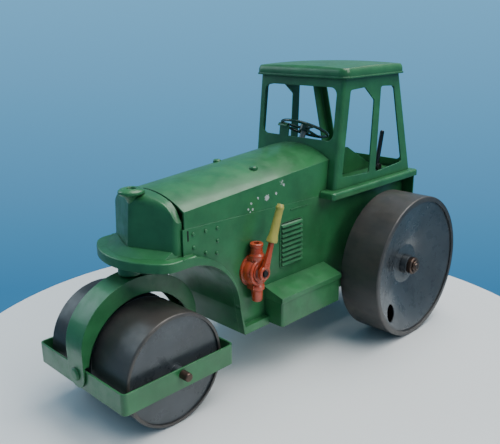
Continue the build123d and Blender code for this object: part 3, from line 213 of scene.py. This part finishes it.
black = paint("black_enamel", (0.012, 0.013, 0.014), rough=0.34, edge_colour=(0.12, 0.12, 0.12))
# Near-black painted shade for slits, louvre gaps and the hub hole, standing in for the shade inside them.
opening_shade = paint("opening_painted_shade", (0.0022, 0.0030, 0.0026), rough=0.8, edge_colour=(0.004, 0.005, 0.004),
                coat=0.0,
                chip_level=0.95)

BY_SLOT = {
    "green_enamel": green,
    "dark_green": dark_green,
    "roll_tread": tread,
    "roll_disc": disc,
    "axle_steel": axle,
    "plain_steel": steel,
    "orange_enamel": orange,
    "yellow_enamel": yellow,
    "black_enamel": black,
}
for part in frame["record"]["subparts"]:
    shown = nodes[part["node"]]
    shown.data.materials.clear()
    shown.data.materials.append(BY_SLOT[part["material_slot"]])


# ---- pieces ----
def piece(name, vertices, faces, material, body, smooth=False):
    """A mesh in the row frame (millimetres), riding on a body."""
    mesh = bpy.data.meshes.new(name)
    mesh.from_pydata([Vector(v) * MM for v in vertices], [], faces)
    mesh.materials.append(material)
    for face in mesh.polygons:
        face.use_smooth = smooth
    mesh.validate()
    made = bpy.data.objects.new(name, mesh)
    bpy.context.scene.collection.objects.link(made)
    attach(made, body)
    return made


BOX_FACES = [(0, 3, 2, 1), (4, 5, 6, 7), (0, 1, 5, 4), (1, 2, 6, 5), (2, 3, 7, 6), (3, 0, 4, 7)]


def box_corners(low, high):
    x0, y0, z0 = low
    x1, y1, z1 = high
    return [(x0, y0, z0), (x1, y0, z0), (x1, y1, z0), (x0, y1, z0),
            (x0, y0, z1), (x1, y0, z1), (x1, y1, z1), (x0, y1, z1)]


def boxes(name, spans, material, body):
    """Several plain boxes as one piece."""
    vertices, faces = [], []
    for low, high in spans:
        start = len(vertices)
        least = [min(a, b) for a, b in zip(low, high)]
        most = [max(a, b) for a, b in zip(low, high)]
        vertices += box_corners(least, most)
        faces += [tuple(start + i for i in f) for f in BOX_FACES]
    return piece(name, vertices, faces, material, body)


def lathe(name, profile, centre, axis, material, body, steps=48):
    """A closed (along, radius) outline turned about an axis through centre."""
    way = Vector(axis).normalized()
    side = way.orthogonal().normalized()
    up = way.cross(side)
    vertices, faces = [], []
    count = len(profile)
    for i in range(steps):
        turn = 2 * math.pi * i / steps
        out = side * math.cos(turn) + up * math.sin(turn)
        vertices += [Vector(centre) + way * a + out * r for a, r in profile]
    for i in range(steps):
        for j in range(count):
            a, b = i * count, ((i + 1) % steps) * count
            k = (j + 1) % count
            faces.append((a + j, a + k, b + k, b + j))
    made = piece(name, vertices, faces, material, body, smooth=True)
    split = made.modifiers.new("edges", "EDGE_SPLIT")
    split.split_angle = math.radians(35)
    return made


# ---- painted shade on both side plates: near-black strips for the slit at the nose and the gaps between the louvre slats ----
LOUVRE_COUNT = 9
LOUVRE_FOOT_Z = 66.2
LOUVRE_PITCH = 3.15
SHADE_STRIP_LOW, SHADE_STRIP_HIGH = 2.42, 3.08

for name, side in SIDES.items():
    slit_x = side * (HULL_X + 0.06)
    # Painted shade: a near-black strip laid on the plate for the shade in the nose slit.
    boxes(f"nose_slit_painted_shade_{name}", [((side * 29.6, -80.6, 101.4), (slit_x, -79.6, 107.3))], opening_shade, "chassis")
    # Painted shade: a thin near-black strip in the gap above each louvre slat.
    shade_strips = []
    for row in range(LOUVRE_COUNT):
        foot = LOUVRE_FOOT_Z + LOUVRE_PITCH * row
        inner = (side * (HULL_X + 0.3), -5.2, foot + SHADE_STRIP_LOW)
        outer = (side * (HULL_X + 0.56), 14.0, foot + SHADE_STRIP_HIGH)
        shade_strips.append((inner, outer))
    boxes(f"louvre_painted_shade_{name}", shade_strips, opening_shade, "chassis")

# ---- nose cowl: a prow casing under a rounded arch ----
CROWN_RADIUS = 58.0
CROWN_TOP = 126.1
COWL_HALF = 28.6
COWL_BACK_Y = -83.1
COWL_FOOT_Z = 93.6
SHOULDER_RADIUS = 14.5
PROW_Y = -99.4
CORNER_Y = -88.0
PROW_LEAN = 0.1
CORNER_LEAN = 0.45
LEAN_FOOT_Z = 93.5
CORNER_RADIUS = 3.4
PROW_RADIUS = 0.7
COWL_COLUMNS = 120
WALL_ROWS = 20
ROW_HEIGHT = 2.0
BROW_RADIUS = 4.6
BROW_STEPS = 7


def arch_height(x):
    """The height of the cowl's rounded arch over x."""
    x = min(abs(x), COWL_HALF)
    crown_z = CROWN_TOP - CROWN_RADIUS
    corner_x = COWL_HALF - SHOULDER_RADIUS
    reach = CROWN_RADIUS - SHOULDER_RADIUS
    if x < corner_x * CROWN_RADIUS / reach:
        return crown_z + math.sqrt(CROWN_RADIUS**2 - x**2)
    corner_z = crown_z + math.sqrt(reach**2 - corner_x**2)
    return corner_z + math.sqrt(max(0.0, SHOULDER_RADIUS**2 - (x - corner_x) ** 2))


def rounded_path(corners, radii, steps=6):
    """A plan path through corners with its bends rounded."""
    path = [Vector(corners[0])]
    for before, corner, after, radius in zip(corners, corners[1:], corners[2:], radii):
        corner = Vector(corner)
        a = (Vector(before) - corner).normalized()
        b = (Vector(after) - corner).normalized()
        half = a.angle(b) / 2
        run = radius / math.tan(half)
        centre = corner + (a + b).normalized() * (radius / math.sin(half))
        start, end = corner + a * run - centre, corner + b * run - centre
        sweep = start.angle(end)
        for i in range(steps + 1):
            t = i / steps
            spun = (start * math.sin((1 - t) * sweep) + end * math.sin(t * sweep)) / math.sin(sweep)
            path.append(centre + spun)
    path.append(Vector(corners[-1]))
    return path


def cowl_plan(z):
    """The cowl's V-shaped plan at height z, leaning back with height."""
    back = PROW_LEAN * (z - LEAN_FOOT_Z)
    corners = [
        (COWL_HALF, COWL_BACK_Y),
        (COWL_HALF, CORNER_Y + CORNER_LEAN * back),
        (0.0, PROW_Y + back),
        (-COWL_HALF, CORNER_Y + CORNER_LEAN * back),
        (-COWL_HALF, COWL_BACK_Y),
    ]
    return rounded_path(corners, [CORNER_RADIUS, PROW_RADIUS, CORNER_RADIUS])


def resample(path, steps):
    """Evenly spaced points along a path."""
    lengths = [(b - a).length for a, b in zip(path, path[1:])]
    whole = sum(lengths)
    out, done, i = [], 0.0, 0
    for k in range(steps + 1):
        want = whole * k / steps
        while i < len(lengths) - 1 and done + lengths[i] < want:
            done += lengths[i]
            i += 1
        t = min(1.0, (want - done) / max(lengths[i], 1e-9))
        out.append(path[i].lerp(path[i + 1], t))
    return out


def cowl_mesh():
    """The cowl's skin: rows up its leaning wall, then over the brow and back along the arch."""
    levels = [COWL_FOOT_Z + ROW_HEIGHT * k for k in range(WALL_ROWS)]
    top_row = WALL_ROWS - 1
    top_rows = 2 * BROW_STEPS
    rows = [[] for _ in range(WALL_ROWS + top_rows)]
    plans = [resample(cowl_plan(z), COWL_COLUMNS) for z in levels]
    back = Vector((0.0, COWL_BACK_Y))
    for u in range(COWL_COLUMNS + 1):
        edge_x = plans[0][u].x
        share = abs(edge_x) / COWL_HALF
        brow = BROW_RADIUS * max(0.02, 1.0 - share**5)
        wall_top = arch_height(edge_x * 0.985) - brow
        wall_top = max(wall_top, COWL_FOOT_Z + 4)
        for r in range(WALL_ROWS):
            z = COWL_FOOT_Z + (wall_top - COWL_FOOT_Z) * r / top_row
            at = min((z - COWL_FOOT_Z) / ROW_HEIGHT, WALL_ROWS - 1.001)
            k = int(at)
            spot = plans[k][u].lerp(plans[k + 1][u], at - k)
            rows[r].append((spot.x, spot.y, z))
        rim = Vector(rows[top_row][u][:2])
        span = (rim - back).length
        for q in range(1, top_rows + 1):
            if q <= BROW_STEPS:
                turned = math.pi / 2 * q / BROW_STEPS
                inward = brow * (1 - math.cos(turned))
                lift = brow * math.sin(turned)
            else:
                inward = brow + (span - brow) * (q - BROW_STEPS) / BROW_STEPS
                lift = brow
            spot = rim.lerp(back, min(1.0, inward / span))
            arch = arch_height(spot.x)
            z = max(min(arch, arch - brow + lift), wall_top if q <= BROW_STEPS else 0)
            rows[top_row + q].append((spot.x, spot.y, z))
    vertices = [v for row in rows for v in row]
    width = COWL_COLUMNS + 1
    faces = []
    for r in range(len(rows) - 1):
        for u in range(COWL_COLUMNS):
            a = r * width + u
            faces.append((a, a + 1, a + 1 + width, a + width))
    return vertices, faces


def shaded(made, angle=40.0):
    """Smooth shading that stays crisp on the sharp edges."""
    for face in made.data.polygons:
        face.use_smooth = True
    split = made.modifiers.new("edges", "EDGE_SPLIT")
    split.split_angle = math.radians(angle)
    return made


cowl = shaded(piece("cowl_skin", *cowl_mesh(), green, "chassis"), 50.0)

# The low ridge at the cowl's foot, as half outlines from its middle to its side.
plinth_low = [(0.0, -106.9), (14.0, -103.5), (26.6, -93.7), (28.6, -87.0)]
plinth_high = [(0.0, -100.2), (14.0, -94.6), (26.6, -88.6), (28.4, -86.0)]
plinth_vertices, plinth_faces = [], []
plinth_inner = [(x, y + 2.5) for x, y in plinth_high]
for z, line in ((93.55, plinth_low), (96.5, plinth_high), (96.5, plinth_inner)):
    plinth_vertices += [(x, y, z) for x, y in reversed(line)] + [(-x, y, z) for x, y in line[1:]]
for row in range(2):
    for u in range(6):
        a = row * 7 + u
        plinth_faces.append((a, a + 1, a + 8, a + 7))
plinth = shaded(piece("cowl_plinth", plinth_vertices, plinth_faces, green, "chassis"), 20.0)
CAP_Y = -94.2
UP = (0, 0, 1)
seat_profile = [(0, 0.01), (0, 5.2), (-2.0, 4.4), (-9.0, 0.4), (-9.0, 0.01)]
neck = lathe("cap_seat", seat_profile, (0, CAP_Y, 126.4), UP, green, "chassis")
for made in (cowl, plinth, neck):
    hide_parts("nose_cowl")
cap = lathe("cap_ring", [
    (-1.2, 0.01), (-1.2, 5.4), (-0.9, 6.8), (0.0, 7.5), (1.1, 7.3), (1.9, 6.4), (2.3, 5.0), (2.0, 4.3),
    (2.35, 3.7), (2.3, 3.0), (1.0, 2.6), (0.9, 0.01),
], (0, CAP_Y, 126.6), UP, green, "chassis")
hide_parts("radiator_cap")


# ---- hand pump casting, lever and grip details ----
PUMP_Y, PUMP_Z, PIPE_X, PIVOT_X = -31.8, 71.6, 34.6, 40.6


def arc_bar(name, centre, radius, tube, start, end, material, body, steps=40, around=10):
    """A round bar bent to an arc in a plane square to X."""
    vertices, faces = [], []
    for i in range(steps + 1):
        turn = math.radians(start + (end - start) * i / steps)
        out = Vector((0, math.cos(turn), math.sin(turn)))
        middle = Vector(centre) + out * radius
        for j in range(around):
            spin = 2 * math.pi * j / around
            vertices.append(middle + out * tube * math.cos(spin) + Vector((tube * math.sin(spin), 0, 0)))
    for i in range(steps):
        for j in range(around):
            a, b = i * around + j, i * around + (j + 1) % around
            faces.append((a, b, b + around, a + around))
    if abs(end - start) < 359:
        faces += [tuple(range(around))[::-1], tuple(steps * around + j for j in range(around))]
    return piece(name, vertices, faces, material, body, smooth=True)


SIDEWAYS = (1, 0, 0)
pump_centre = (0, PUMP_Y, PUMP_Z)
back_profile = [
    (30.05, 0.01), (30.05, 10.2), (31.4, 10.0), (31.6, 9.0), (34.4, 9.2), (36.2, 8.2), (36.6, 6.6),
    (36.4, 0.01),
]
pipe_profile = [
    (52.6, 0.01), (52.6, 2.9), (53.4, 3.3), (57.0, 3.5), (59.6, 3.6), (60.4, 4.6), (62.6, 4.7), (63.6, 3.9),
    (79.0, 4.2), (80.6, 5.0), (82.2, 4.9), (83.4, 3.9), (87.4, 3.6), (87.9, 4.1), (89.2, 4.1), (89.6, 3.7),
    (89.6, 1.9), (85.0, 1.7), (85.0, 0.01),
]
lug_spans = [
    ((31.0, PUMP_Y - 5.2, PUMP_Z + 7.4), (36.0, PUMP_Y + 5.0, PUMP_Z + 9.6)),
    ((31.0, PUMP_Y - 5.0, PUMP_Z - 10.6), (36.4, PUMP_Y + 4.6, PUMP_Z - 7.6)),
]
pin_profile = [(36.0, 0.01), (36.0, 1.9), (42.3, 1.9), (42.6, 1.6), (42.6, 0.01)]
pump_parts = [
    lathe("pump_back", back_profile, pump_centre, SIDEWAYS, orange, "chassis"),
    lathe("pump_pipe", pipe_profile, (PIPE_X, PUMP_Y, 0), UP, orange, "chassis"),
    arc_bar("pump_ridge", (37.0, PUMP_Y, PUMP_Z), 7.3, 1.15, 70, 320, orange, "chassis"),
    arc_bar("pump_ring", (37.2, PUMP_Y, PUMP_Z), 4.9, 0.8, 0, 360, orange, "chassis"),
    boxes("pump_lugs", lug_spans, orange, "chassis"),
    # The pin is near-black painted shade, standing in for the dark hole in the hub.
    lathe("pump_pin", pin_profile, pump_centre, SIDEWAYS, opening_shade, "chassis"),
]
for made in pump_parts:
    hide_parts("pump_body")

lean = math.radians(20.5)
pivot = Vector((PIVOT_X, PUMP_Y, PUMP_Z))
rise = Vector((0, math.sin(lean), math.cos(lean)))
across = Vector((0, math.cos(lean), -math.sin(lean)))


def lever_bar():
    """The flat lever, wide at its eye and narrow under the grip."""
    vertices, faces = [], []
    for along, half, thick in ((3.2, 2.5, 1.3), (8.0, 1.9, 1.2), (14.0, 1.45, 1.1), (24.0, 1.3, 1.0)):
        centre = pivot + rise * along
        for sx, sy in ((-1, -1), (1, -1), (1, 1), (-1, 1)):
            vertices.append(centre + across * half * sy + Vector((thick * sx, 0, 0)))
    for k in range(3):
        for j in range(4):
            a, b = 4 * k + j, 4 * k + (j + 1) % 4
            faces.append((a, b, b + 4, a + 4))
    faces += [(3, 2, 1, 0), (12, 13, 14, 15)]
    return piece("lever_bar", vertices, faces, orange, "pump_handle")


eye_profile = [
    (39.2, 2.05), (39.2, 4.0), (39.6, 4.4), (41.4, 4.4), (42.0, 3.9), (42.1, 3.0), (41.5, 2.7), (41.4, 2.05),
]
lever_parts = [
    lathe("lever_eye", eye_profile, pump_centre, SIDEWAYS, orange, "pump_handle"),
    lever_bar(),
]
for made in lever_parts:
    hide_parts("pump_lever")
grip_profile = [
    (0, 0.01), (0, 2.9), (0.5, 3.35), (2.5, 3.3), (5.0, 2.75), (16.0, 2.35), (20.2, 2.3), (20.8, 2.6),
    (21.8, 2.6), (22.6, 2.1), (23.6, 1.9), (23.6, 0.01),
]
grip = lathe("grip_sleeve", grip_profile, pivot + rise * 19.0, rise, yellow, "pump_handle")
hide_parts("pump_grip")


# ---- small trim: axle-end rings, pressed lines, the windscreen tab's turned lip ----
ring_profile = [(67.5, 4.05), (67.5, 5.6), (68.0, 5.9), (70.2, 5.9), (70.8, 5.4), (70.8, 4.05)]
for name, side in SIDES.items():
    axle_centre = (0, REAR_AXLE_Y, REAR_AXLE_Z)
    lathe(f"rear_axle_ring_{name}", ring_profile, axle_centre, (side, 0, 0), axle, "rear_rolls")
    line_x = side * (HULL_X - 0.1)
    line_span = ((line_x, 3.7, 101.2), (line_x + side * 0.4, 20.7, 101.9))
    boxes(f"pressed_line_{name}", [line_span], green, "chassis")

TAB_STEPS = 7
TAB_BEND = 85.0
TAB_RADIUS = 2.0
TAB_THICKNESS = 0.9
TAB_Y, TAB_Z = 41.9, 146.1
tab_vertices, tab_faces = [], []
for i in range(TAB_STEPS + 1):
    bend = math.radians(TAB_BEND * i / TAB_STEPS)
    for depth in (0.0, TAB_THICKNESS):
        r = TAB_RADIUS - depth
        y = TAB_Y + TAB_RADIUS - r * math.cos(bend)
        z = TAB_Z + r * math.sin(bend)
        tab_vertices += [(-15.4, y, z), (-7.6, y, z)]
for i in range(TAB_STEPS):
    a = 4 * i
    tab_faces += [(a, a + 1, a + 5, a + 4), (a + 2, a + 6, a + 7, a + 3), (a, a + 4, a + 6, a + 2),
                  (a + 1, a + 3, a + 7, a + 5)]
last = 4 * TAB_STEPS
tab_faces.append((last, last + 1, last + 3, last + 2))
shaded(piece("screen_tab_lip", tab_vertices, tab_faces, green, "chassis"))


# ---- floor, light and camera ----
STAND_CENTRE = (10.0, -4.0)
STAND_RADIUS = 214.0
STAND_DEPTH = 14.0


def stand_disc(material):
    """The round white stand, with a softly rounded rim."""
    profile = [
        (-STAND_DEPTH, 0.0), (-STAND_DEPTH, STAND_RADIUS), (-2.0, STAND_RADIUS),
        (-0.8, STAND_RADIUS - 0.5), (0.0, STAND_RADIUS - 2.0), (0.0, 0.0),
    ]
    steps = 160
    vertices, faces = [], []
    for i in range(steps):
        turn = 2 * math.pi * i / steps
        for z, r in profile:
            x = STAND_CENTRE[0] + r * math.cos(turn)
            y = STAND_CENTRE[1] + r * math.sin(turn)
            vertices.append(Vector((x, y, z)) * MM)
    count = len(profile)
    for i in range(steps):
        for j in range(count - 1):
            a, b = i * count + j, ((i + 1) % steps) * count + j
            faces.append((a, b, b + 1, a + 1))
    mesh = bpy.data.meshes.new("stand")
    mesh.from_pydata(vertices, [], faces)
    mesh.validate()
    mesh.materials.append(material)
    made = bpy.data.objects.new("stand", mesh)
    bpy.context.scene.collection.objects.link(made)


floor_shader = Shader("floor")
tone = floor_shader.step(floor_shader.noise(2.0, 3.0), 0.3, 0.7)
floor_tone = floor_shader.mix(tone, (0.74, 0.75, 0.75, 1), (0.78, 0.79, 0.79, 1))
floor_shader.link(floor_tone, floor_shader.bsdf.inputs["Base Color"])
floor_shader.bsdf.inputs["Roughness"].default_value = 0.40
stand_disc(floor_shader.material)


def area_light(name, place, target, size, power, colour):
    data = bpy.data.lights.new(name, "AREA")
    data.shape = "RECTANGLE"
    data.size = size[0]
    data.size_y = size[1]
    data.energy = power
    data.color = colour
    lamp = bpy.data.objects.new(name, data)
    lamp.location = place
    lamp.rotation_euler = (Vector(target) - Vector(place)).to_track_quat("-Z", "Y").to_euler()
    bpy.context.scene.collection.objects.link(lamp)


area_light("overhead", (0.25, 0.35, 1.2), (0, 0, 0.10), (1.3, 1.1), 24.0, (1.0, 0.99, 0.95))
area_light("left_window", (-1.1, -0.5, 0.7), (0, -0.05, 0.08), (0.8, 0.8), 5.0, (0.72, 0.90, 1.0))
area_light("right_fill", (1.2, 0.3, 0.9), (0, 0, 0.09), (0.8, 0.6), 6.0, (1.0, 0.98, 0.93))

world = bpy.data.worlds.new("studio")
world.use_nodes = True
tree = world.node_tree
ambient = tree.nodes["Background"]
ambient.inputs["Color"].default_value = (0.28, 0.58, 0.85, 1.0)
ambient.inputs["Strength"].default_value = 0.45
# The camera sees a blue backdrop that darkens downwards; the light keeps the plain ambient tone.
backdrop = tree.nodes.new("ShaderNodeBackground")
window = tree.nodes.new("ShaderNodeTexCoord").outputs["Window"]
split_window = tree.nodes.new("ShaderNodeSeparateXYZ")
tree.links.new(window, split_window.inputs[0])
ramp = tree.nodes.new("ShaderNodeValToRGB")
ramp.color_ramp.elements[0].position = 0.35
ramp.color_ramp.elements[0].color = (0.045, 0.225, 0.46, 1.0)
ramp.color_ramp.elements[1].position = 1.0
ramp.color_ramp.elements[1].color = (0.17, 0.48, 0.78, 1.0)
tree.links.new(split_window.outputs["Y"], ramp.inputs[0])
tree.links.new(ramp.outputs[0], backdrop.inputs["Color"])
chooser = tree.nodes.new("ShaderNodeMixShader")
tree.links.new(tree.nodes.new("ShaderNodeLightPath").outputs["Is Camera Ray"], chooser.inputs[0])
tree.links.new(ambient.outputs[0], chooser.inputs[1])
tree.links.new(backdrop.outputs[0], chooser.inputs[2])
tree.links.new(chooser.outputs[0], tree.nodes["World Output"].inputs["Surface"])
bpy.context.scene.world = world

camera_data = bpy.data.cameras.new("camera")
camera_data.sensor_fit = "HORIZONTAL"
camera_data.sensor_width = 36.0
camera_data.lens = 46.48
camera = bpy.data.objects.new("camera", camera_data)
bpy.context.scene.collection.objects.link(camera)
turn = math.radians(45.01)
tilt = math.radians(17.03)
roll = math.radians(-0.83)
ahead = Vector((-math.sin(turn) * math.cos(tilt), math.cos(turn) * math.cos(tilt), -math.sin(tilt)))
right = Vector((math.cos(turn), math.sin(turn), 0))
up = right.cross(ahead)
right_rolled = right * math.cos(roll) + up * math.sin(roll)
up_rolled = up * math.cos(roll) - right * math.sin(roll)
camera.matrix_world = Matrix.Translation((0.2889, -0.2912, 0.2138)) @ Matrix(
    (right_rolled, up_rolled, -ahead)
).transposed().to_4x4()
bpy.context.scene.camera = camera
